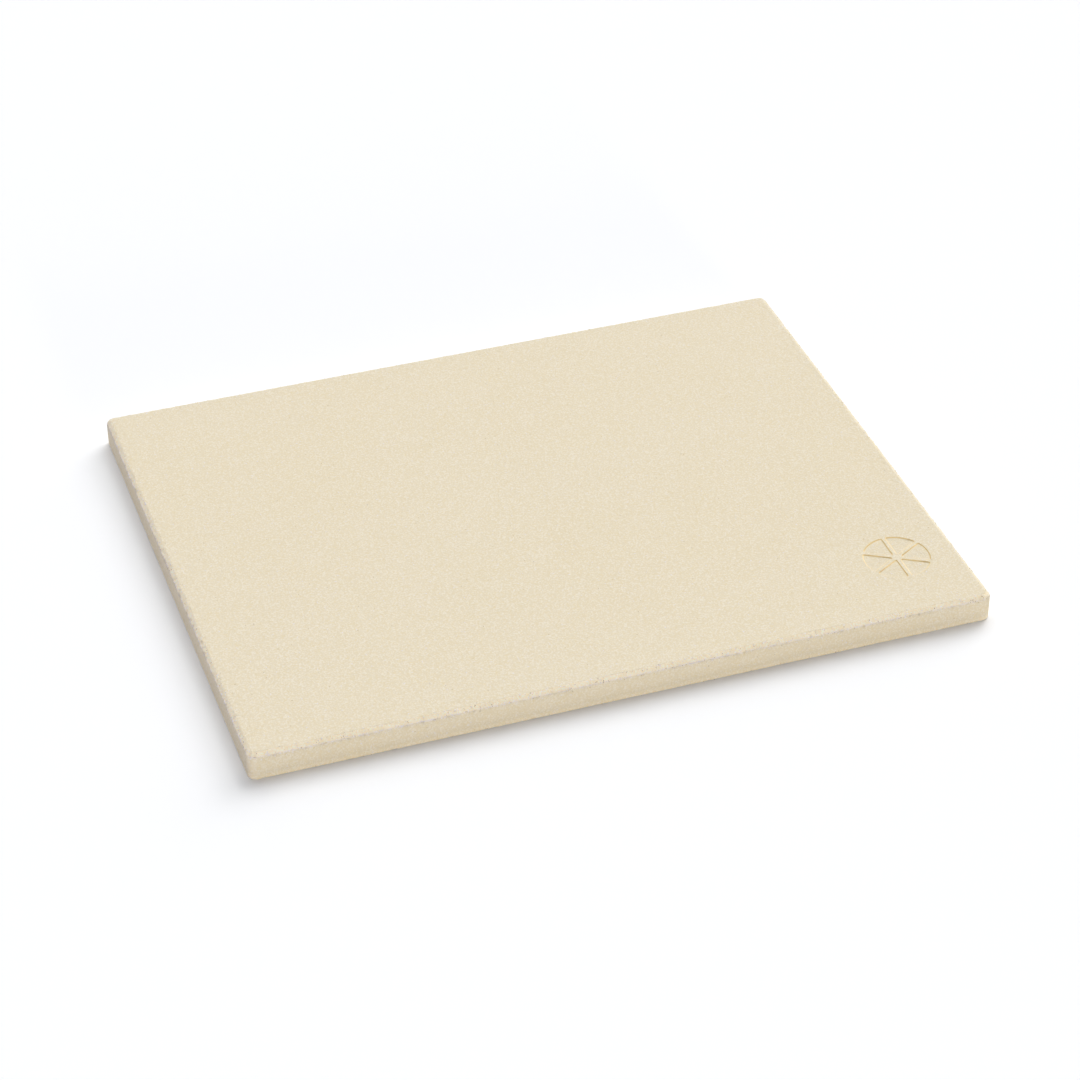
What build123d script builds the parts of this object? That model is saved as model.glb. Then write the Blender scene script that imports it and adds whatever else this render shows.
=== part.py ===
from build123d import *

import os
from math import asin, degrees, radians, sin

# Rectangular baking slab of pressed and fired cordierite, for pizza and bread.
#
# The slab is one piece of ceramic with nothing joined to it. It lies flat on an oven rack, a grill grate
# or a worktop. Its plan is a rectangle with rounded corners, its walls are upright, a bevel runs round the
# upper face, and the foot of the walls is slightly rounded. One corner of the upper face has a shallow
# pressed mark: a round pie cut into equal slices.
#
# +X runs along the long side, +Y from the front edge to the back edge, and +Z up. The origin is the centre
# of the underside. Lengths are in millimetres and angles in degrees.

# Slab
slab_length = 380.0
slab_width = 300.0
slab_thickness = 15.0
corner_radius = 4.5

# Bevel round the upper face, and the rounding where it meets the face and the wall
bevel_inset = 2.3
bevel_drop = 1.7
arris_radius = 0.8

# Rounding at the foot of the walls
foot_radius = 0.6

# Pressed mark, its centre placed from the right edge and the front edge of the slab
mark_from_right = 32.0
mark_from_front = 45.0
mark_radius = 17.0
slice_count = 6
slice_gap = 2.0
slice_corner_radius = 0.8

# Depth of the mark, and how far its walls lean from upright so that the die lifts out
mark_depth = 0.5
mark_draft = 30.0

# How far a cutting shape stands above the face that it cuts
overrun = 1.0

full_turn = 360.0


def slab_blank():
    """Plain slab: the rounded rectangle raised to full thickness, lying on the ground plane."""
    outline = RectangleRounded(slab_length, slab_width, corner_radius)
    return extrude(outline, amount=slab_thickness)


def bevel_upper_face(body):
    """Body with the bevel along the rim of its upper face."""
    face = body.faces().sort_by(Axis.Z)[-1]
    rim = face.outer_wire().edges()
    return chamfer(rim, length=bevel_inset, length2=bevel_drop, reference=face)


def edges_at_height(body, height):
    """Edges of the body that lie level at one height."""
    levels = body.edges().group_by(Axis.Z)
    return min(levels, key=lambda level: abs(level[0].center().Z - height))


def soften_arrises(body):
    """Body with both arrises of its bevel rounded, by no more than the bevel has room for, and its foot."""
    radius = min(arris_radius, bevel_inset, bevel_drop)
    heights = (slab_thickness - bevel_drop, slab_thickness)
    body = fillet([edge for height in heights for edge in edges_at_height(body, height)], radius)
    return fillet(edges_at_height(body, 0), foot_radius)


def slice_outline():
    """Outline of one slice of the mark, on +X, with its point near the origin and its corners rounded."""
    half_slice = full_turn / slice_count / 2
    half_rim = half_slice - degrees(asin(slice_gap / 2 / mark_radius))
    point = (slice_gap / 2 / sin(radians(half_slice)), 0)
    rim = CenterArc((0, 0), mark_radius, -half_rim, 2 * half_rim)
    slice_face = make_face([Line(point, rim @ 0), rim, Line(rim @ 1, point)])
    return fillet(slice_face.vertices(), slice_corner_radius)


def slice_cutter():
    """Cutting shape of one slice: its walls lean in below height zero and stand upright above it."""
    outline = slice_outline()
    pocket = extrude(outline, amount=-mark_depth, taper=mark_draft)
    return pocket + extrude(outline, amount=overrun)


def pressed_mark():
    """Cutting shapes of the whole mark, in place on the upper face."""
    place = Pos(
        slab_length / 2 - mark_from_right,
        mark_from_front - slab_width / 2,
        slab_thickness,
    )
    cutter = slice_cutter()
    return [place * Rot(Z=full_turn * turn / slice_count) * cutter for turn in range(slice_count)]


def stone_slab():
    """Finished slab."""
    body = soften_arrises(bevel_upper_face(slab_blank()))
    for cutter in pressed_mark():
        body -= cutter
    return body


os.makedirs("parts", exist_ok=True)
export_step(stone_slab(), "parts/stone_slab.step")
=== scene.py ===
"""Looks of a rectangular baking slab of pressed and fired cordierite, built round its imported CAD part.

The slab is one block of ceramic. Its mesh is laid out here with fine faces along the edges and the pressed
mark and coarse ones across the flats. Geometry Nodes then give it the relief that pressing, firing and
handling leave, and set coarse grains of fired clay into its arrises and walls. Lengths are in metres.
"""

from __future__ import annotations

import logging
import math
from dataclasses import dataclass, field
from enum import Enum
from typing import Any

import bpy
import numpy as np
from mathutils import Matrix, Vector
from mathutils.geometry import delaunay_2d_cdt


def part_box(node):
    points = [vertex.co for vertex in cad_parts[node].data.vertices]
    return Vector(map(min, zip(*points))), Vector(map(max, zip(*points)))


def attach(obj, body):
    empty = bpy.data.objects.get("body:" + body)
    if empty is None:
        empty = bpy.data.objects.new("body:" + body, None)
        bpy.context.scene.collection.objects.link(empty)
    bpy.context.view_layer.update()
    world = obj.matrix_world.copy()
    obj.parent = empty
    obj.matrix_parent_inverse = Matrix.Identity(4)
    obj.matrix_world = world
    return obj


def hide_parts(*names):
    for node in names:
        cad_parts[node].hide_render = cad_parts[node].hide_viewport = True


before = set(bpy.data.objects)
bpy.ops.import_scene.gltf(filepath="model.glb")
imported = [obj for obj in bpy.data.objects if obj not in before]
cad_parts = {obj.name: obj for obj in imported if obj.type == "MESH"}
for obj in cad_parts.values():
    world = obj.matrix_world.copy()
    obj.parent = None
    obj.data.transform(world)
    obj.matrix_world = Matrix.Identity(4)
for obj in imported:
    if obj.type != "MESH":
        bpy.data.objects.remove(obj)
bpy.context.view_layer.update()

MM = 0.001
TURN = 2 * math.pi

Colour = tuple[float, float, float]
Box = tuple[Vector, Vector]
log = logging.getLogger("baking_slab")


@dataclass(frozen=True)
class Wire:
    """An output of a node. Python's operators on it add Math nodes to its tree."""

    nodes: NodeWriter
    socket: bpy.types.NodeSocket

    def __add__(self, other: Wire | float) -> Wire:
        """Sum."""
        return self.nodes.math("ADD", self, other)

    def __radd__(self, other: float) -> Wire:
        """Sum with a number on the left."""
        return self.nodes.math("ADD", other, self)

    def __sub__(self, other: Wire | float) -> Wire:
        """Difference."""
        return self.nodes.math("SUBTRACT", self, other)

    def __rsub__(self, other: float) -> Wire:
        """Difference from a number on the left."""
        return self.nodes.math("SUBTRACT", other, self)

    def __mul__(self, other: Wire | float) -> Wire:
        """Product."""
        return self.nodes.math("MULTIPLY", self, other)

    def __rmul__(self, other: float) -> Wire:
        """Product with a number on the left."""
        return self.nodes.math("MULTIPLY", other, self)

    def __lt__(self, other: Wire | float) -> Wire:
        """One where this value is less than the other, and zero elsewhere."""
        return self.nodes.math("LESS_THAN", self, other)


@dataclass(frozen=True)
class Placed:
    """A node that stands in its tree, read by the names of its outputs."""

    nodes: NodeWriter
    node: bpy.types.Node

    def __getitem__(self, name: str) -> Wire:
        """Output of that name or identifier."""
        return Wire(self.nodes, self.nodes.find(self.node.outputs, name))


@dataclass(frozen=True)
class NodeWriter:
    """Writes nodes into one tree."""

    tree: bpy.types.NodeTree

    @staticmethod
    def find(sockets: Any, name: str) -> bpy.types.NodeSocket:
        """Socket with that identifier or, failing that, the first usable one with that name.

        Args:
            sockets: the inputs or the outputs of a node.
            name: an identifier or a name.

        Returns:
            The socket.
        """
        exact = [socket for socket in sockets if socket.identifier == name]
        named = [socket for socket in sockets if socket.name == name and socket.enabled]
        return (exact or named)[0]

    def add(
        self, kind: str, settings: dict[str, Any] | None = None, plugs: dict[str, Any] | None = None
    ) -> Placed:
        """Adds a node.

        Args:
            kind: the node's type.
            settings: properties of the node, which are set before its sockets are used.
            plugs: values or wires for its inputs, by name or identifier.

        Returns:
            The node, ready to be read.
        """
        node = self.tree.nodes.new(kind)
        for name, value in (settings or {}).items():
            setattr(node, name, value)
        for name, value in (plugs or {}).items():
            socket = self.find(node.inputs, name)
            if isinstance(value, Wire):
                self.tree.links.new(value.socket, socket)
            else:
                socket.default_value = value
        return Placed(self, node)

    def math(self, operation: str, first: Wire | float, second: Wire | float) -> Wire:
        """Result of a Math node on two values."""
        return self.add(
            "ShaderNodeMath", {"operation": operation}, {"Value": first, "Value_001": second}
        )["Value"]

    def vector(self, operation: str, first: Any, second: Any) -> Wire:
        """Vector that a Vector Math node makes of two vectors."""
        return self.add(
            "ShaderNodeVectorMath", {"operation": operation}, {"Vector": first, "Vector_001": second}
        )["Vector"]

    def scaled(self, direction: Wire, amount: Wire | float) -> Wire:
        """Vector times a number."""
        return self.add(
            "ShaderNodeVectorMath", {"operation": "SCALE"}, {"Vector": direction, "Scale": amount}
        )["Vector"]

    def mix(self, factor: Wire | float, low: Any, high: Any) -> Wire:
        """Blend of two colours.

        Args:
            factor: zero for the first colour and one for the second.
            low: the first colour, as a wire or three numbers.
            high: the second colour.

        Returns:
            The blended colour.
        """
        low, high = (value if isinstance(value, Wire) else (*value, 1.0) for value in (low, high))
        return self.add(
            "ShaderNodeMix",
            {"data_type": "RGBA"},
            {"Factor_Float": factor, "A_Color": low, "B_Color": high},
        )["Result_Color"]

    def ramp(self, value: Wire, start: float, end: float) -> Wire:
        """Smooth step from zero at start to one at end. Start may be the greater of the two."""
        return self.add(
            "ShaderNodeMapRange",
            {"interpolation_type": "SMOOTHSTEP"},
            {"Value": value, "From Min": start, "From Max": end},
        )["Result"]

    def noise(self, place: Wire, size: Wire | float, detail: float = 2.0) -> Wire:
        """Soft random value from zero to one, about a half on average.

        Args:
            place: the point that is looked up.
            size: the length over which the value changes.
            detail: how many finer layers are added.

        Returns:
            The value.
        """
        settings = {"noise_dimensions": "3D"}
        plugs = {"Vector": place, "Scale": self.math("DIVIDE", 1.0, size), "Detail": detail}
        found = self.add("ShaderNodeTexNoise", settings, plugs)
        return Wire(self, found.node.outputs[0])

    def cells(self, place: Wire, size: Wire | float) -> tuple[Wire, Wire, Wire]:
        """Random cells that fill space.

        Args:
            place: the point that is looked up.
            size: the width of a cell.

        Returns:
            The distance to the cell's own point in cell widths, and two random values of the cell.
        """
        plugs = {"Vector": place, "Scale": self.math("DIVIDE", 1.0, size)}
        found = self.add("ShaderNodeTexVoronoi", {"voronoi_dimensions": "3D", "feature": "F1"}, plugs)
        parts = self.add("ShaderNodeSeparateXYZ", plugs={"Vector": found["Color"]})
        return found["Distance"], parts["X"], parts["Y"]

    def spots(self, place: Wire, size: float, radius: float, share: Wire | float) -> Wire:
        """Mask of soft round spots, at most one in each random cell.

        Args:
            place: the point that is looked up.
            size: the width of a cell.
            radius: the radius of the largest spot.
            share: the share of the cells that have a spot.

        Returns:
            One in the middle of a spot and zero outside.
        """
        smallest, solid = 0.4, 0.55
        distance, chance, girth = self.cells(place, size)
        reach = (girth * (1 - smallest) + smallest) * (radius / size)
        inside = self.ramp(self.math("DIVIDE", distance, reach), 1.0, solid)
        return inside * (chance < share)


def blank_nodes(owner: bpy.types.Material | bpy.types.World) -> NodeWriter:
    """Empties the node tree of a material or of the world.

    Args:
        owner: the material or the world.

    Returns:
        A writer for its tree.
    """
    owner.use_nodes = True
    owner.node_tree.nodes.clear()
    return NodeWriter(owner.node_tree)


class Face(Enum):
    """The slab's two flat faces."""

    UPPER = "upper"
    LOWER = "lower"


@dataclass(frozen=True)
class Arris:
    """A rounded corner of the slab's section, and how rough it is, from zero to one."""

    radius: float
    steps: int
    wear: float


@dataclass(frozen=True)
class EdgeProfile:
    """Section through the slab's edge, from the upper face over the bevel and the wall to the lower face.

    A point of the section is its inset from the wall and its height above the ground. The arrises, and the
    straight stretches before and after each of them, are listed from the upper face down. Painted light
    makes the bevel paler as far as just below its lower arris, and the foot of the wall too, against the
    shade that falls on them.
    """

    thickness: float
    bevel_inset: float = 2.3 * MM
    bevel_drop: float = 1.7 * MM
    flat_run: float = 4.2 * MM
    stretch_steps: tuple[int, ...] = (3, 4, 9, 3)
    arrises: tuple[Arris, ...] = (
        Arris(0.8 * MM, 3, 0.15),
        Arris(0.8 * MM, 4, 1.0),
        Arris(0.6 * MM, 4, 0.35),
    )
    wear_reach: float = 1.3 * MM
    bevel_wear: float = 0.3
    # Painted light lightens the bevel and the wall's foot against their shade: where it starts below the
    # bevel, how far it rises, and how high it reaches up the foot.
    painted_light_below: float = 0.4 * MM
    painted_light_rise: float = 0.7 * MM
    painted_light_foot: float = 3.0 * MM

    def corners(self) -> np.ndarray:
        """Corners of the section before its arrises are rounded, with the two ends."""
        run, top = self.flat_run, self.thickness
        return np.array([(run, top), (self.bevel_inset, top), (0, top - self.bevel_drop), (0, 0), (run, 0)])

    def rounding(self, place: int) -> np.ndarray:
        """Points of the arc that rounds one arris.

        Args:
            place: the arris's place among the arrises.

        Returns:
            The arc's points, from the upper side to the lower side.
        """
        before, corner, after = self.corners()[place : place + 3]
        arris = self.arrises[place]
        back, ahead = ((other - corner) / np.linalg.norm(other - corner) for other in (before, after))
        turn = math.acos(-back @ ahead)
        inwards = (back + ahead) / np.linalg.norm(back + ahead)
        centre = corner + inwards * arris.radius / math.cos(turn / 2)
        start, end = (corner + side * arris.radius * math.tan(turn / 2) - centre for side in (back, ahead))
        shares = np.linspace(0, 1, arris.steps + 1)[:, None]
        return centre + (np.sin((1 - shares) * turn) * start + np.sin(shares * turn) * end) / math.sin(turn)

    def points(self) -> np.ndarray:
        """All points of the section.

        Returns:
            The points, from the upper end to the lower end.
        """
        corners = self.corners()
        arcs = [self.rounding(place) for place in range(len(self.arrises))]
        ends = [corners[:1], *arcs, corners[-1:]]
        line = [ends[0]]
        for steps, start, arc in zip(self.stretch_steps, ends, ends[1:]):
            shares = np.linspace(0, 1, steps + 1)[1:-1, None]
            line += [start[-1] * (1 - shares) + arc[0] * shares, arc]
        return np.vstack(line)

    def wear(self, points: np.ndarray) -> np.ndarray:
        """How worn the section is.

        Args:
            points: points of the section.

        Returns:
            A value for each point, from zero on the flat faces to one on the roughest arris.
        """
        reach = np.linalg.norm(points[:, None] - self.corners()[None, 1:-1], axis=2) / self.wear_reach
        worn = (np.clip(1 - reach, 0, 1) * [arris.wear for arris in self.arrises]).max(axis=1)
        inset, height = points.T
        on_bevel = (inset < self.bevel_inset) & (height > self.thickness - self.bevel_drop)
        return np.where(on_bevel, np.maximum(worn, self.bevel_wear), worn)

    def painted_light(self, points: np.ndarray) -> np.ndarray:
        """How much painted light lightens the section.

        Args:
            points: points of the section.

        Returns:
            A value for each point, one on the bevel and at the foot of the wall and zero away from them.
        """
        inset, height = points.T
        start = self.thickness - self.bevel_drop - self.painted_light_below
        bevel = np.clip((height - start) / self.painted_light_rise, 0, 1) * (inset < self.bevel_inset)
        foot = np.clip(1 - height / self.painted_light_foot, 0, 1) * (inset < self.arrises[-1].radius)
        return np.maximum(bevel, foot)


@dataclass(frozen=True)
class PressedMark:
    """Round pie cut into equal slices, pressed into the upper face near one corner.

    An offset is a distance outwards from the outline of a slice at the face. Points of the mesh follow the
    outline at each of the loop offsets, and other points keep clear of them.
    """

    from_right: float = 32.0 * MM
    from_front: float = 45.0 * MM
    radius: float = 17.0 * MM
    slices: int = 6
    gap: float = 2.0 * MM
    corner_radius: float = 0.8 * MM
    depth: float = 0.5 * MM
    mouth_offset: float = 0.18 * MM
    floor_offset: float = -0.43 * MM
    loop_offsets: tuple[float, ...] = tuple(
        offset * MM for offset in (0.33, 0.18, 0.06, -0.04, -0.13, -0.22, -0.32, -0.43, -0.6)
    )
    loop_spacing: float = 0.55 * MM
    fewest_steps: int = 4
    clear_outside: float = 0.5 * MM
    clear_inside: float = 0.8 * MM

    @property
    def half_slice(self) -> float:
        """Half the angle of a slice."""
        return TURN / self.slices / 2

    def depth_at(self, offset: float) -> float:
        """Depth of the pressing at an offset, with a soft lip and a soft foot to its wall."""
        share = np.clip((self.mouth_offset - offset) / (self.mouth_offset - self.floor_offset), 0, 1)
        return float(self.depth * share * share * (3 - 2 * share))

    def wall_tint_at(self, offset: float) -> float:
        """How strongly the pressing's wall is tinted golden brown at an offset.

        Args:
            offset: distance outwards from the outline of a slice.

        Returns:
            One halfway down the pressing's wall, and zero away from it.
        """
        middle = (self.mouth_offset + self.floor_offset) / 2
        reach = self.mouth_offset - self.floor_offset
        return max(0.0, 1 - abs(offset - middle) / reach)

    def loop(self, offset: float) -> np.ndarray:
        """Closed outline of the slice on +X at an offset, as points about the mark's centre.

        Args:
            offset: how far the outline stands out from the slice.

        Returns:
            The outline's points, counterclockwise.
        """
        half, inset = self.half_slice, self.gap / 2 + self.corner_radius
        bow = self.radius - self.corner_radius
        lean = half - math.asin(inset / bow)
        square = math.pi / 2 + half
        corner, rim = self.corner_radius + offset, self.radius + offset
        tip = (inset / math.sin(half), 0.0)
        low, high = ((bow * math.cos(lean), side * bow * math.sin(lean)) for side in (-1, 1))
        arcs = (
            (low, corner, -square, -lean),
            ((0.0, 0.0), rim, -lean, lean),
            (high, corner, lean, square),
            (tip, corner, square, TURN - square),
        )
        points = [self.arc(*each) for each in arcs]
        sides = [self.straight(points[2][-1], points[3][0]), self.straight(points[3][-1], points[0][0])]
        return np.vstack([points[0][:-1], points[1][:-1], points[2], sides[0], points[3], sides[1]])

    def arc(self, centre: tuple[float, float], radius: float, start: float, end: float) -> np.ndarray:
        """Points of an arc, about evenly spaced whatever its radius.

        Args:
            centre: the arc's centre.
            radius: the arc's radius.
            start: the angle at which it starts.
            end: the angle at which it ends.

        Returns:
            The points, with both ends.
        """
        steps = max(self.fewest_steps, round(abs(end - start) * radius / self.loop_spacing))
        angles = np.linspace(start, end, steps + 1)
        return np.array(centre) + radius * np.column_stack([np.cos(angles), np.sin(angles)])

    def straight(self, start: np.ndarray, end: np.ndarray) -> np.ndarray:
        """Points of a straight line.

        Args:
            start: one end.
            end: the other end.

        Returns:
            The points between the ends, without the ends.
        """
        steps = round(float(np.linalg.norm(end - start)) / self.loop_spacing)
        shares = np.linspace(0, 1, steps + 1)[1:-1, None]
        return start * (1 - shares) + end * shares

    def offset_of(self, places: np.ndarray) -> np.ndarray:
        """Offset of points from the nearest slice, taken with sharp corners.

        Args:
            places: the points, in plan about the mark's centre.

        Returns:
            The offset of each point, less than zero inside a slice.
        """
        distance = np.linalg.norm(places, axis=1)
        angle = np.arctan2(places[:, 1], places[:, 0])
        off_middle = np.abs((angle + self.half_slice) % (2 * self.half_slice) - self.half_slice)
        from_ray = distance * np.sin(self.half_slice - off_middle)
        return np.maximum(distance - self.radius, self.gap / 2 - from_ray)


@dataclass
class MeshDraft:
    """Points, faces and point values of a mesh that is being laid out."""

    places: list[np.ndarray] = field(default_factory=list)
    wear: list[np.ndarray] = field(default_factory=list)
    wall_tint: list[np.ndarray] = field(default_factory=list)
    painted_light: list[np.ndarray] = field(default_factory=list)
    faces: list[tuple[int, ...]] = field(default_factory=list)
    count: int = 0

    def add_points(self, places: np.ndarray, wear: np.ndarray, wall_tint: np.ndarray, painted_light: np.ndarray) -> int:
        """Adds points.

        Args:
            places: the points, one row each.
            wear: how worn each one is.
            wall_tint: how strongly each one is tinted golden brown.
            painted_light: how much painted light lightens each one.

        Returns:
            The number of the first point.
        """
        first = self.count
        self.places.append(places)
        self.wear.append(wear)
        self.wall_tint.append(wall_tint)
        self.painted_light.append(painted_light)
        self.count += len(places)
        return first

    def make(self, name: str) -> bpy.types.Object:
        """Makes the finished mesh, shaded smooth, and puts it in the scene.

        Args:
            name: the name of the object and its mesh.

        Returns:
            The object.
        """
        mesh = bpy.data.meshes.new(name)
        mesh.from_pydata(np.vstack(self.places).tolist(), [], self.faces)
        for label, values in (("wear", self.wear), ("wall_tint", self.wall_tint), ("painted_light", self.painted_light)):
            layer = mesh.attributes.new(label, "FLOAT", "POINT")
            layer.data.foreach_set("value", np.concatenate(values).astype(np.float32))
        mesh.shade_smooth()
        piece = bpy.data.objects.new(name, mesh)
        bpy.context.scene.collection.objects.link(piece)
        return piece


@dataclass
class SlabBlank:
    """The pressed slab before firing: a closed mesh with its bevel and its mark.

    Points stand a fixed distance apart along the edge. On a flat face the distance between them grows away
    from the edge and from the mark, up to the widest.
    """

    length: float
    width: float
    profile: EdgeProfile
    mark: PressedMark
    corner_radius: float = 4.5 * MM
    along: float = 0.6 * MM
    mark_spacing: float = 0.9 * MM
    widest: float = 12.0 * MM
    growth: dict[Face, float] = field(default_factory=lambda: {Face.UPPER: 0.32, Face.LOWER: 0.5})
    jitter: float = 0.2
    rim_clearance: float = 0.55
    seed: int = 11

    def wall_line(self) -> tuple[np.ndarray, np.ndarray]:
        """Line of the wall in plan, counterclockwise from the right front corner.

        Returns:
            The line's points and the outward direction at each.
        """
        reach = np.array([self.length, self.width]) / 2 - self.corner_radius
        arc_steps = round(TURN / 4 * self.corner_radius / self.along)
        corners = [reach * side for side in ((1, -1), (1, 1), (-1, 1), (-1, -1))]
        places, outward = [], []
        for quarter, (centre, following) in enumerate(zip(corners, corners[1:] + corners[:1])):
            angles = (quarter - 1 + np.linspace(0, 1, arc_steps + 1)) * TURN / 4
            arc = np.column_stack([np.cos(angles), np.sin(angles)])
            steps = round(float(np.linalg.norm(following - centre)) / self.along)
            shares = np.linspace(0, 1, steps + 1)[1:-1, None]
            side = centre * (1 - shares) + following * shares + self.corner_radius * arc[-1]
            places += [centre + self.corner_radius * arc, side]
            outward += [arc, np.tile(arc[-1], (len(side), 1))]
        return np.vstack(places), np.vstack(outward)

    def add_band(self, draft: MeshDraft) -> tuple[np.ndarray, dict[Face, list[int]]]:
        """Adds the fine band that runs round the slab, from the upper face over the wall to the lower.

        Args:
            draft: the mesh that is being laid out.

        Returns:
            The band's end line in plan, and the numbers of its points on each face.
        """
        places, outward = self.wall_line()
        section, away_from_lamps = self.profile.points(), self.away_from_lamps(outward)
        size, rows = len(places), len(section)
        worn, lightened = self.profile.wear(section), self.profile.painted_light(section)
        for (inset, height), wear, painted_light in zip(section, worn, lightened):
            ring = np.column_stack([places - inset * outward, np.full(size, height)])
            # Painted light lightens the bevel and the foot on the front and left edges only.
            draft.add_points(ring, np.full(size, wear), np.zeros(size), painted_light * away_from_lamps)
        for row in range(rows - 1):
            upper, lower = row * size, (row + 1) * size
            for here in range(size):
                following = (here + 1) % size
                draft.faces.append((upper + here, lower + here, lower + following, upper + following))
        ends = {Face.UPPER: list(range(size)), Face.LOWER: list(range((rows - 1) * size, rows * size))}
        return places - self.profile.flat_run * outward, ends

    @staticmethod
    def away_from_lamps(outward: np.ndarray) -> np.ndarray:
        """How far painted light goes on each edge: one if it faces the front or the left, away from the
        lamps, and zero for back and right.
        """
        return (1 - np.clip(outward.sum(axis=1), -1, 1)) / 2

    def mark_centre(self) -> np.ndarray:
        """Centre of the mark in plan."""
        return np.array([self.length / 2 - self.mark.from_right, self.mark.from_front - self.width / 2])

    def inset_of(self, places: np.ndarray) -> np.ndarray:
        """Distance of points in plan from the nearest wall."""
        return (np.array([self.length, self.width]) / 2 - np.abs(places)).min(axis=1)

    def spacing_at(self, places: np.ndarray, face: Face) -> np.ndarray:
        """Wanted distance between neighbouring points of a flat face.

        Args:
            places: places on the face, in plan.
            face: which face it is.

        Returns:
            The distance at each place.
        """
        growth = self.growth[face]
        spacing = self.along + growth * (self.inset_of(places) - self.profile.flat_run)
        if face is Face.UPPER:
            past_mark = np.linalg.norm(places - self.mark_centre(), axis=1) - self.mark.radius
            spacing = np.minimum(spacing, self.mark_spacing + growth * np.maximum(past_mark, 0))
        return np.clip(spacing, self.along, self.widest)

    def flat_points(self, face: Face) -> np.ndarray:
        """Points inside the band of one face, spaced by halving square cells until each is fine enough.

        Args:
            face: which face it is.

        Returns:
            The points, in plan.
        """
        random = np.random.default_rng(self.seed)
        quarters = np.array([(-1, -1), (1, -1), (1, 1), (-1, 1)]) / 4
        size = 2 * self.widest
        counts = [math.ceil(span / size) for span in (self.length, self.width)]
        steps = [(np.arange(count) - (count - 1) / 2) * size for count in counts]
        cells = np.stack(np.meshgrid(*steps), axis=-1).reshape(-1, 2)
        found = []
        while len(cells):
            coarse = size > self.spacing_at(cells, face)
            done = cells[~coarse]
            done = done + random.uniform(-self.jitter, self.jitter, done.shape) * size
            inside = self.inset_of(done) > self.profile.flat_run + self.rim_clearance * size
            found.append(done[inside])
            cells = (cells[coarse][:, None] + quarters * size).reshape(-1, 2)
            size /= 2
        return np.vstack(found)

    def close_face(self, draft: MeshDraft, face: Face, rim: np.ndarray, rim_points: list[int]) -> None:
        """Closes one flat face inside the band, with the mark on the upper one.

        Args:
            draft: the mesh that is being laid out.
            face: which face is closed.
            rim: the band's end line in plan.
            rim_points: the numbers of the band's points on this face.
        """
        flat = self.flat_points(face)
        height = self.profile.thickness if face is Face.UPPER else 0.0
        depth, loops = np.zeros(len(flat)), []
        if face is Face.UPPER:
            offsets = self.mark.offset_of(flat - self.mark_centre())
            clear = (offsets > self.mark.clear_outside) | (offsets < -self.mark.clear_inside)
            flat, depth = flat[clear], np.where(offsets[clear] < 0, self.mark.depth, 0.0)
            loops = self.mark_loops()
        plan = np.vstack([rim, flat, *(loop for loop, _ in loops)])
        starts = np.cumsum([len(rim) + len(flat), *(len(loop) for loop, _ in loops)])
        rings = [(0, len(rim)), *((start, len(loop)) for start, (loop, _) in zip(starts, loops))]
        edges = [(first + step, first + (step + 1) % size) for first, size in rings for step in range(size)]
        pressed = [np.full(len(loop), self.mark.depth_at(offset)) for loop, offset in loops]
        gold_tint = [np.full(len(loop), self.mark.wall_tint_at(offset)) for loop, offset in loops]
        depth, wall_tint = np.concatenate([depth, *pressed]), np.concatenate([np.zeros(len(flat)), *gold_tint])
        added = plan[len(rim) :]
        places = np.column_stack([added, height - depth])
        first = draft.add_points(places, np.zeros(len(added)), wall_tint, np.zeros(len(added)))
        numbers = [*rim_points, *range(first, first + len(added))]
        triangles = self.triangulated(plan, edges)
        if face is Face.LOWER:
            triangles = triangles[:, ::-1]
        draft.faces += [tuple(numbers[corner] for corner in triangle) for triangle in triangles]

    def mark_loops(self) -> list[tuple[np.ndarray, float]]:
        """Outlines that the mesh follows round the mark.

        Returns:
            The outline of every slice at every loop offset, in plan, each with its offset.
        """
        found = []
        for turn in range(self.mark.slices):
            angle = TURN * turn / self.mark.slices
            spin = np.array([(math.cos(angle), math.sin(angle)), (-math.sin(angle), math.cos(angle))])
            for offset in self.mark.loop_offsets:
                found.append((self.mark.loop(offset) @ spin + self.mark_centre(), offset))
        return found

    @staticmethod
    def triangulated(plan: np.ndarray, edges: list[tuple[int, int]]) -> np.ndarray:
        """Triangles between points of a plan that keep the given edges, counterclockwise.

        Args:
            plan: the points.
            edges: pairs of points that have to be joined. The first ones go round the outside.

        Returns:
            Three numbers of points for each triangle.
        """
        inside_only, nearest = 1, 1e-9
        result = delaunay_2d_cdt([Vector(place) for place in plan], edges, [], inside_only, nearest)
        faces, sources = result[2], result[3]
        triangles = np.array([[sources[corner][0] for corner in face] for face in faces])
        first, second, third = (plan[triangles[:, corner]] for corner in range(3))
        along, across = second - first, third - first
        clockwise = along[:, 0] * across[:, 1] < along[:, 1] * across[:, 0]
        triangles[clockwise] = triangles[clockwise][:, ::-1]
        return triangles

    def build(self, name: str) -> bpy.types.Object:
        """Builds the closed slab.

        Args:
            name: the name of the slab's object.

        Returns:
            The object.
        """
        draft = MeshDraft()
        rim, ends = self.add_band(draft)
        for face in Face:
            self.close_face(draft, face, rim, ends[face])
        return draft.make(name)


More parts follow.
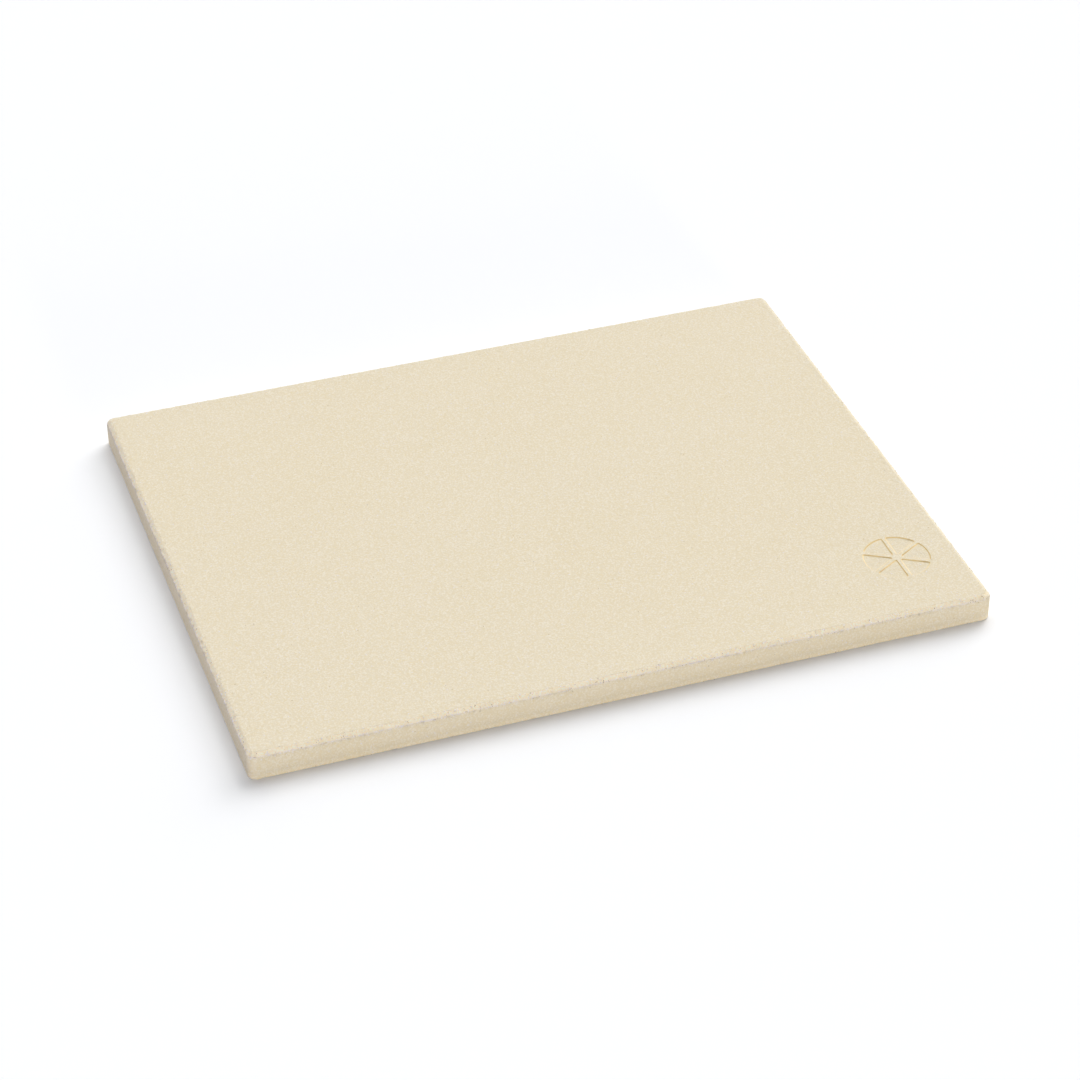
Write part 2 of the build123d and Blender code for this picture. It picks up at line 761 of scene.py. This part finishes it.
@dataclass
class GeometryRecipe:
    """A Geometry Nodes tree with named inputs, run once on a piece and then made a plain mesh."""

    name: str
    values: dict[str, Any] = field(default_factory=dict)

    def __post_init__(self) -> None:
        """Makes the empty tree with its geometry sockets."""
        self.tree = bpy.data.node_groups.new(self.name, "GeometryNodeTree")
        for way in ("INPUT", "OUTPUT"):
            self.tree.interface.new_socket("Geometry", in_out=way, socket_type="NodeSocketGeometry")
        self.nodes = NodeWriter(self.tree)
        self.source = self.nodes.add("NodeGroupInput")

    def named(self, name: str, value: Any, kind: str = "NodeSocketFloat") -> Wire:
        """Adds a named input to the tree.

        Args:
            name: what the input is called.
            value: the value that the piece is made with.
            kind: the type of its socket.

        Returns:
            The input, for use in the tree.
        """
        item = self.tree.interface.new_socket(name, in_out="INPUT", socket_type=kind)
        self.values[item.identifier] = value
        return self.source[item.identifier]

    def read(self, label: str) -> Wire:
        """Value that the mesh carries at each point under that label."""
        found = self.nodes.add("GeometryNodeInputNamedAttribute", {"data_type": "FLOAT"}, {"Name": label})
        return found["Attribute"]

    def random(self, kind: str, plugs: dict[str, Any]) -> Placed:
        """Random value of its own for each point. A number's sockets end in _001 and a vector's don't."""
        return self.nodes.add("FunctionNodeRandomValue", {"data_type": kind}, plugs)

    def kept_in_box(self, geometry: Wire, box: Box) -> Wire:
        """Moves each point that lies outside a box to the box's side.

        Args:
            geometry: the geometry.
            box: the box's lowest and highest corners.

        Returns:
            The geometry inside the box.
        """
        low = self.named("Box low", tuple(box[0]), "NodeSocketVector")
        high = self.named("Box high", tuple(box[1]), "NodeSocketVector")
        place = self.nodes.add("GeometryNodeInputPosition")["Position"]
        inside = self.nodes.vector("MINIMUM", self.nodes.vector("MAXIMUM", place, low), high)
        moved = self.nodes.add("GeometryNodeSetPosition", plugs={"Geometry": geometry, "Position": inside})
        return moved["Geometry"]

    def finish(self, geometry: Wire, material: bpy.types.Material) -> None:
        """Ends the tree with real faces in one material.

        Args:
            geometry: the geometry that the tree has made.
            material: the material that it gets.
        """
        real = self.nodes.add("GeometryNodeRealizeInstances", plugs={"Geometry": geometry})
        plugs = {"Geometry": real["Geometry"], "Material": material}
        dressed = self.nodes.add("GeometryNodeSetMaterial", plugs=plugs)
        self.nodes.add("NodeGroupOutput", plugs={"Geometry": dressed["Geometry"]})

    def run(self, piece: bpy.types.Object, material: bpy.types.Material) -> None:
        """Runs the tree on a piece and leaves the result as the piece's own mesh.

        Args:
            piece: the piece, which keeps its name and place.
            material: the one material that the result has.
        """
        modifier = piece.modifiers.new(self.name, "NODES")
        modifier.node_group = self.tree
        for identifier, value in self.values.items():
            modifier[identifier] = value
        depsgraph = bpy.context.evaluated_depsgraph_get()
        evaluated = piece.evaluated_get(depsgraph)
        made = bpy.data.meshes.new_from_object(
            evaluated, preserve_all_data_layers=True, depsgraph=depsgraph
        )
        made.materials.clear()
        made.materials.append(material)
        made.polygons.foreach_set("material_index", [0] * len(made.polygons))
        piece.modifiers.clear()
        piece.data = made


@dataclass(frozen=True)
class FiredRelief:
    """Relief that pressing, firing and handling leave: waves, grain, pits, and chips along the arrises.

    All of it goes inwards, so the slab stays inside the box of the CAD part. Pits and chips are round
    scoops, at most one in each random cell, and their rim and floor are distances in cell widths.
    """

    wave_length: float = 70.0 * MM
    wave_depth: float = 0.10 * MM
    grain_size: float = 1.3 * MM
    grain_depth: float = 0.15 * MM
    grain_detail: float = 1.0
    pit_cell: float = 2.2 * MM
    pit_depth: float = 0.22 * MM
    pit_share: float = 0.35
    chip_cell: float = 1.4 * MM
    chip_depth: float = 1.3 * MM
    chip_share: float = 0.75
    scoop_rim: float = 0.62
    scoop_floor: float = 0.1
    shallowest: float = 0.3
    wear_floor: float = 0.3
    shift: float = 0.37

    def scoops(self, recipe: GeometryRecipe, place: Wire, label: str, cell: float, share: float) -> Wire:
        """Round scoops at random.

        Args:
            recipe: the tree that they are added to.
            place: the point that is looked up.
            label: what the scoops are called among the tree's inputs.
            cell: the width of a cell.
            share: the share of the cells that have a scoop.

        Returns:
            The depth, from zero outside to one in the middle of the deepest.
        """
        width, crowd = recipe.named(f"{label} cell", cell), recipe.named(f"{label} share", share)
        distance, chance, girth = recipe.nodes.cells(place, width)
        hollow = recipe.nodes.ramp(distance, self.scoop_rim, self.scoop_floor)
        return hollow * (chance < crowd) * (girth * (1 - self.shallowest) + self.shallowest)

    def apply(self, piece: bpy.types.Object, box: Box, material: bpy.types.Material) -> None:
        """Gives a blank its relief.

        Args:
            piece: the blank, which carries how worn each point is.
            box: the box that the slab stays in.
            material: the finish that the slab gets.
        """
        recipe = GeometryRecipe("fired_relief")
        nodes = recipe.nodes
        place = nodes.add("GeometryNodeInputPosition")["Position"]
        shift = recipe.named("Pattern shift", (self.shift,) * 3, "NodeSocketVector")
        place = nodes.vector("ADD", place, shift)
        wear = recipe.read("wear")
        wave = nodes.noise(place, recipe.named("Wave length", self.wave_length))
        wave = wave * recipe.named("Wave depth", self.wave_depth)
        grain = nodes.noise(place, recipe.named("Grain size", self.grain_size), self.grain_detail)
        grain = grain * recipe.named("Grain depth", self.grain_depth) * (wear + self.wear_floor)
        pits = self.scoops(recipe, place, "Pit", self.pit_cell, self.pit_share)
        pits = pits * recipe.named("Pit depth", self.pit_depth)
        chips = self.scoops(recipe, place, "Chip", self.chip_cell, self.chip_share)
        chips = chips * recipe.named("Chip depth", self.chip_depth) * wear
        normal = nodes.add("GeometryNodeInputNormal")["Normal"]
        inwards = nodes.scaled(normal, 0.0 - (wave + grain + pits + chips))
        plugs = {"Geometry": recipe.source["Geometry"], "Offset": inwards}
        moved = nodes.add("GeometryNodeSetPosition", plugs=plugs)["Geometry"]
        recipe.finish(recipe.kept_in_box(moved, box), material)
        recipe.run(piece, material)


@dataclass(frozen=True)
class GrogGrains:
    """Coarse grains of fired clay that stand in the arrises and walls of the slab."""

    per_area: float = 1.1e6
    field_share: float = 0.005
    smallest: float = 0.2 * MM
    largest: float = 0.46 * MM
    bury: float = 0.06 * MM
    squeeze: float = 0.6
    seed: int = 5

    def build(self, slab: bpy.types.Object, box: Box, material: bpy.types.Material) -> bpy.types.Object:
        """Scatters the grains over a finished slab.

        Args:
            slab: the slab, which carries how worn each point is.
            box: the box that the grains stay in.
            material: the finish of the grains.

        Returns:
            One piece that holds every grain.
        """
        piece = bpy.data.objects.new("grog_grains", slab.data.copy())
        bpy.context.scene.collection.objects.link(piece)
        recipe = GeometryRecipe("grog_scatter")
        nodes = recipe.nodes
        seed = recipe.named("Seed", self.seed, "NodeSocketInt")
        crowd = recipe.named("Grains per area", self.per_area)
        crowd = crowd * (recipe.read("wear") + recipe.named("Share on the flats", self.field_share))
        plugs = {"Mesh": recipe.source["Geometry"], "Density": crowd, "Seed": seed}
        spread = nodes.add("GeometryNodeDistributePointsOnFaces", {"distribute_method": "RANDOM"}, plugs)
        down = nodes.scaled(spread["Normal"], 0.0 - recipe.named("Bury", self.bury))
        buried = nodes.add("GeometryNodeSetPosition", plugs={"Geometry": spread["Points"], "Offset": down})
        grain = nodes.add("GeometryNodeMeshIcoSphere", plugs={"Radius": 1.0, "Subdivisions": 1})
        low, high = recipe.named("Smallest", self.smallest), recipe.named("Largest", self.largest)
        girth = recipe.random("FLOAT", {"Min_001": low, "Max_001": high, "Seed": seed})["Value_001"]
        turn = recipe.random("FLOAT_VECTOR", {"Max": (TURN,) * 3, "Seed": seed})["Value"]
        shape = {"Min": (self.squeeze,) * 3, "Max": (1.0,) * 3, "Seed": seed}
        plugs = {
            "Points": buried["Geometry"],
            "Instance": grain["Mesh"],
            "Rotation": turn,
            "Scale": nodes.scaled(recipe.random("FLOAT_VECTOR", shape)["Value"], girth),
        }
        placed = nodes.add("GeometryNodeInstanceOnPoints", plugs=plugs)
        real = nodes.add("GeometryNodeRealizeInstances", plugs={"Geometry": placed["Instances"]})
        recipe.finish(recipe.kept_in_box(real["Geometry"], box), material)
        recipe.run(piece, material)
        return piece


@dataclass(frozen=True)
class Step:
    """A smooth step of a pattern, from nothing at its start to its full strength at its end."""

    start: float
    end: float
    strength: float = 1.0

    def mask(self, nodes: NodeWriter, pattern: Wire) -> Wire:
        """How strong the step is at each value of the pattern."""
        return nodes.ramp(pattern, self.start, self.end) * self.strength


@dataclass(frozen=True)
class SpotField:
    """Soft round spots, at most one in each random cell.

    The share of the cells that have one grows by the worn share where the slab is most worn.
    """

    cell: float
    radius: float
    share: float
    worn_share: float
    strength: float

    def mask(self, nodes: NodeWriter, place: Wire, wear: Wire) -> Wire:
        """One in the middle of a spot and zero outside."""
        return nodes.spots(place, self.cell, self.radius, wear * self.worn_share + self.share)


@dataclass(frozen=True)
class DrySurface:
    """Dull surface of fired clay, whose roughness varies about its mean with a pattern."""

    roughness: float
    roughness_range: float
    specular: float = 0.3

    def close(self, nodes: NodeWriter, colour: Wire, pattern: Wire, normal: Wire) -> None:
        """Ends a material's tree in this surface.

        Args:
            nodes: the writer of the material's tree.
            colour: the colour.
            pattern: the pattern of the roughness, from zero to one.
            normal: the normal with the finest relief.
        """
        mean = 0.5
        plugs = {
            "Base Color": colour,
            "Roughness": self.roughness + (pattern - mean) * self.roughness_range,
            "Specular IOR Level": self.specular,
            "Normal": normal,
        }
        shader = nodes.add("ShaderNodeBsdfPrincipled", plugs=plugs)
        nodes.add("ShaderNodeOutputMaterial", plugs={"Surface": shader["BSDF"]})


@dataclass(frozen=True)
class CordieriteFinish:
    """Fired cordierite: pale cream, dry, fine-grained, with paler and browner specks.

    The slab carries how worn, how tinted and how much painted light each of its points has. Worn places
    have more pale crumbs and dark pits, tinted ones are golden brown, and painted light makes the bevel and
    the wall's foot paler.
    """

    name: str = "cordierite"
    slot: str = "cordierite"
    clay: Colour = (0.815, 0.722, 0.548)
    ochre: Colour = (0.785, 0.668, 0.435)
    chalk: Colour = (0.86, 0.79, 0.665)
    lilac: Colour = (0.84, 0.79, 0.81)
    gold: Colour = (0.82, 0.68, 0.34)
    umber: Colour = (0.52, 0.41, 0.27)
    gold_tint: Colour = (1.0, 0.76, 0.35)
    cloud_size: float = 110.0 * MM
    mottle_size: float = 14.0 * MM
    soft_detail: float = 3.0
    speckle_size: float = 1.5 * MM
    grain_size: float = 0.8 * MM
    drift_step: Step = Step(0.35, 0.65, 0.22)
    ochre_step: Step = Step(0.42, 0.64, 0.6)
    chalk_step: Step = Step(0.48, 0.66, 0.8)
    crumb_wear: Step = Step(0.3, 0.8)
    crumb_step: Step = Step(0.44, 0.58, 0.6)
    wall_tint_step: Step = Step(0.25, 0.95, 0.85)
    sand: SpotField = SpotField(1.4 * MM, 0.5 * MM, 0.25, 0.0, 0.5)
    pale: SpotField = SpotField(1.2 * MM, 0.48 * MM, 0.06, 0.8, 0.95)
    dark: SpotField = SpotField(1.4 * MM, 0.42 * MM, 0.02, 0.5, 0.7)
    level: float = 0.915
    speckle_level: float = 0.06
    grain_level: float = 0.13
    # How much painted light lightens the bevel and the wall's foot.
    painted_light_gain: float = 0.25
    surface: DrySurface = DrySurface(0.88, 0.12)
    relief: float = 0.05 * MM
    speckle_height: float = 0.5
    pale_height: float = 0.5
    dark_depth: float = 1.2

    def material(self) -> bpy.types.Material:
        """Builds the finish.

        Returns:
            The material.
        """
        material = bpy.data.materials.new(self.name)
        nodes = blank_nodes(material)
        place = nodes.add("ShaderNodeTexCoord")["Object"]
        wear, wall_tint, painted_light = (
            nodes.add("ShaderNodeAttribute", {"attribute_name": label})["Fac"]
            for label in ("wear", "wall_tint", "painted_light")
        )
        cloud = nodes.noise(place, self.cloud_size, self.soft_detail)
        mottle = nodes.noise(place, self.mottle_size, self.soft_detail)
        speckle = nodes.noise(place, self.speckle_size)
        grain = nodes.noise(place, self.grain_size)
        drift = (cloud + mottle) * 0.5
        colour = nodes.mix(self.drift_step.mask(nodes, drift), self.clay, self.ochre)
        colour = nodes.mix(self.ochre_step.mask(nodes, speckle), colour, self.ochre)
        colour = nodes.mix(self.chalk_step.mask(nodes, grain), colour, self.chalk)
        sand, pale, dark = (spots.mask(nodes, place, wear) for spots in (self.sand, self.pale, self.dark))
        crumbs = self.crumb_wear.mask(nodes, wear) * self.crumb_step.mask(nodes, speckle)
        colour = nodes.mix(sand * self.sand.strength, colour, self.gold)
        colour = nodes.mix(crumbs, colour, self.lilac)
        colour = nodes.mix(pale * self.pale.strength, colour, self.lilac)
        colour = nodes.mix(dark * self.dark.strength, colour, self.umber)
        # Tints the walls of the pressed mark golden brown.
        colour = nodes.mix(self.wall_tint_step.mask(nodes, wall_tint), colour, self.gold_tint)
        # The last term of the level is painted light on the bevel and the wall's foot.
        level = self.level + speckle * self.speckle_level + grain * self.grain_level + painted_light * self.painted_light_gain
        height = speckle * self.speckle_height + grain + pale * self.pale_height - dark * self.dark_depth
        bump = nodes.add("ShaderNodeBump", plugs={"Distance": self.relief, "Height": height})
        self.surface.close(nodes, nodes.scaled(colour, level), speckle, bump["Normal"])
        return material


@dataclass(frozen=True)
class GrogFinish:
    """Grains of fired clay, from lilac white through cream to a few brown ones."""

    name: str = "grog"
    slot: str = "cordierite"
    lilac: Colour = (0.87, 0.82, 0.85)
    cream: Colour = (0.88, 0.79, 0.62)
    brown: Colour = (0.55, 0.45, 0.31)
    patch_size: float = 1.6 * MM
    fine_size: float = 0.3 * MM
    cream_step: Step = Step(0.3, 0.7)
    brown_share: float = 0.2
    brown_strength: float = 0.8
    level: float = 0.95
    fine_level: float = 0.1
    surface: DrySurface = DrySurface(0.8, 0.1)
    relief: float = 0.03 * MM

    def material(self) -> bpy.types.Material:
        """Builds the finish.

        Returns:
            The material.
        """
        material = bpy.data.materials.new(self.name)
        nodes = blank_nodes(material)
        place = nodes.add("ShaderNodeTexCoord")["Object"]
        _, first, second = nodes.cells(place, self.patch_size)
        fine = nodes.noise(place, self.fine_size)
        colour = nodes.mix(self.cream_step.mask(nodes, first), self.lilac, self.cream)
        colour = nodes.mix((second < self.brown_share) * self.brown_strength, colour, self.brown)
        level = self.level + fine * self.fine_level
        bump = nodes.add("ShaderNodeBump", plugs={"Distance": self.relief, "Height": fine})
        self.surface.close(nodes, nodes.scaled(colour, level), fine, bump["Normal"])
        return material


@dataclass
class StoneSlab:
    """The finished slab, in place of its CAD solid, with the coarse grains in its surface."""

    node: str = "stone_slab"
    body: str = "root"
    mark: PressedMark = field(default_factory=PressedMark)
    relief: FiredRelief = field(default_factory=FiredRelief)
    grains: GrogGrains = field(default_factory=GrogGrains)
    clay: CordieriteFinish = field(default_factory=CordieriteFinish)
    grog: GrogFinish = field(default_factory=GrogFinish)

    def build(self) -> list[bpy.types.Object]:
        """Builds the slab and its grains and joins them to the frame.

        Returns:
            The finished pieces.
        """
        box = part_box(self.node)
        size = box[1] - box[0]
        blank = SlabBlank(size.x, size.y, EdgeProfile(size.z), self.mark)
        slab = blank.build("slab")
        self.relief.apply(slab, box, self.clay.material())
        grains = self.grains.build(slab, box, self.grog.material())
        for piece, finish in ((slab, self.clay), (grains, self.grog)):
            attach(piece, self.body)
        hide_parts(self.node)
        return [slab, grains]


@dataclass(frozen=True)
class SoftLamp:
    """A far and broad lamp, which lights the whole floor alike. Its spread is the angle that it fills."""

    name: str
    azimuth: float
    elevation: float
    spread: float
    level: float
    colour: Colour

    def place(self) -> None:
        """Adds the lamp. A level of one makes a white face that is turned to the lamp white."""
        data = bpy.data.lights.new(self.name, "SUN")
        data.angle = math.radians(self.spread)
        data.energy, data.color = self.level * math.pi, self.colour
        lamp = bpy.data.objects.new(self.name, data)
        away = towards(self.azimuth, self.elevation)
        lamp.location = away
        lamp.rotation_euler = away.to_track_quat("Z", "Y").to_euler()
        bpy.context.scene.collection.objects.link(lamp)


def towards(azimuth: float, elevation: float) -> Vector:
    """Direction from the slab to an onlooker.

    Args:
        azimuth: degrees round the slab, zero in front and 90 on the right.
        elevation: degrees above the horizon.

    Returns:
        A vector of length one.
    """
    turn, rise = math.radians(azimuth), math.radians(elevation)
    return Vector((math.sin(turn) * math.cos(rise), -math.cos(turn) * math.cos(rise), math.sin(rise)))


@dataclass
class Studio:
    """White floor, soft light from the back right, and the camera at the photograph's angle.

    Where the floor is seen, a faint glow is added to it, so that it looks white with its shadow on it.
    """

    floor_side: float = 14.0
    floor_colour: Colour = (0.95, 0.955, 0.967)
    floor_lift: float = 0.085
    sky_colour: Colour = (0.7, 1.0, 1.5)
    sky_level: float = 0.045
    lamps: tuple[SoftLamp, ...] = (
        SoftLamp("right_low", 130.0, 22.0, 36.0, 0.27, (1.0, 1.0, 1.0)),
        SoftLamp("right_high", 130.0, 45.0, 50.0, 0.5, (1.02, 1.0, 0.98)),
        SoftLamp("back_high", 175.0, 63.0, 56.0, 0.42, (0.99, 1.0, 0.97)),
        SoftLamp("back_low", 175.0, 19.0, 30.0, 0.07, (1.0, 1.0, 1.0)),
        SoftLamp("front_fill", 3.0, 3.5, 6.0, 0.4, (1.05, 1.0, 0.92)),
        SoftLamp("left_fill", -88.0, 20.0, 36.0, 0.13, (1.06, 0.96, 1.15)),
    )
    camera_azimuth: float = -18.874
    camera_elevation: float = 35.919
    camera_roll: float = -0.195
    camera_distance: float = 1.6377
    camera_target: tuple[float, float, float] = (0.15 * MM, -12.95 * MM, 0.0)
    sensor: float = 36.0
    focal_in_frames: float = 2.9493

    def build(self) -> None:
        """Builds the floor, the world, the lamps and the camera."""
        self.build_floor()
        self.build_world()
        for lamp in self.lamps:
            lamp.place()
        self.build_camera()
        bpy.context.scene.view_settings.view_transform = "Standard"

    @staticmethod
    def seen_directly(nodes: NodeWriter) -> Wire:
        """Tells the rays that look from the light that spreads.

        Args:
            nodes: the writer of the tree that asks.

        Returns:
            One for rays that look straight, by reflection or through glass, and zero for the others.
        """
        path = nodes.add("ShaderNodeLightPath")
        mirrored = nodes.math("MAXIMUM", path["Is Glossy Ray"], path["Is Transmission Ray"])
        return nodes.math("MAXIMUM", path["Is Camera Ray"], mirrored)

    def build_floor(self) -> None:
        """Builds the white floor, which keeps the slab's shadow."""
        half = self.floor_side / 2
        mesh = bpy.data.meshes.new("floor")
        corners = [(-half, -half, 0), (half, -half, 0), (half, half, 0), (-half, half, 0)]
        mesh.from_pydata(corners, [], [(0, 1, 2, 3)])
        material = bpy.data.materials.new("floor_white")
        nodes = blank_nodes(material)
        paper = nodes.add("ShaderNodeBsdfDiffuse", plugs={"Color": (*self.floor_colour, 1.0)})
        lift = self.seen_directly(nodes) * self.floor_lift
        glow = nodes.add("ShaderNodeEmission", plugs={"Strength": lift})
        plugs = {"Shader": paper["BSDF"], "Shader_001": glow["Emission"]}
        both = nodes.add("ShaderNodeAddShader", plugs=plugs)
        nodes.add("ShaderNodeOutputMaterial", plugs={"Surface": both["Shader"]})
        mesh.materials.append(material)
        floor = bpy.data.objects.new("floor", mesh)
        bpy.context.scene.collection.objects.link(floor)

    def build_world(self) -> None:
        """Builds the sky: an even light on the slab, seen as white."""
        world = bpy.data.worlds.new("studio_sky")
        nodes = blank_nodes(world)
        plugs = {"Color": (*self.sky_colour, 1.0), "Strength": self.sky_level}
        light = nodes.add("ShaderNodeBackground", plugs=plugs)
        white = nodes.add("ShaderNodeBackground", plugs={"Color": (1.0,) * 4, "Strength": 1.0})
        plugs = {
            "Fac": self.seen_directly(nodes),
            "Shader": light["Background"],
            "Shader_001": white["Background"],
        }
        both = nodes.add("ShaderNodeMixShader", plugs=plugs)
        nodes.add("ShaderNodeOutputWorld", plugs={"Surface": both["Shader"]})
        bpy.context.scene.world = world

    def build_camera(self) -> None:
        """Builds the camera at the photograph's viewing angle."""
        data = bpy.data.cameras.new("camera")
        data.sensor_width = self.sensor
        data.lens = self.sensor * self.focal_in_frames
        camera = bpy.data.objects.new("camera", data)
        away = towards(self.camera_azimuth, self.camera_elevation)
        camera.location = Vector(self.camera_target) + away * self.camera_distance
        facing = (-away).to_track_quat("-Z", "Y").to_euler()
        facing.rotate_axis("Z", math.radians(self.camera_roll))
        camera.rotation_euler = facing
        bpy.context.scene.collection.objects.link(camera)
        bpy.context.scene.camera = camera


def main() -> None:
    """Builds the slab and the studio round it, and reports each piece."""
    logging.basicConfig(level=logging.INFO, format="%(name)s: %(message)s")
    for piece in StoneSlab().build():
        mesh = piece.data
        mesh.calc_loop_triangles()
        points, triangles = len(mesh.vertices), len(mesh.loop_triangles)
        log.info("%s: %d points, %d triangles", piece.name, points, triangles)
    Studio().build()


if __name__ == "__main__":
    main()
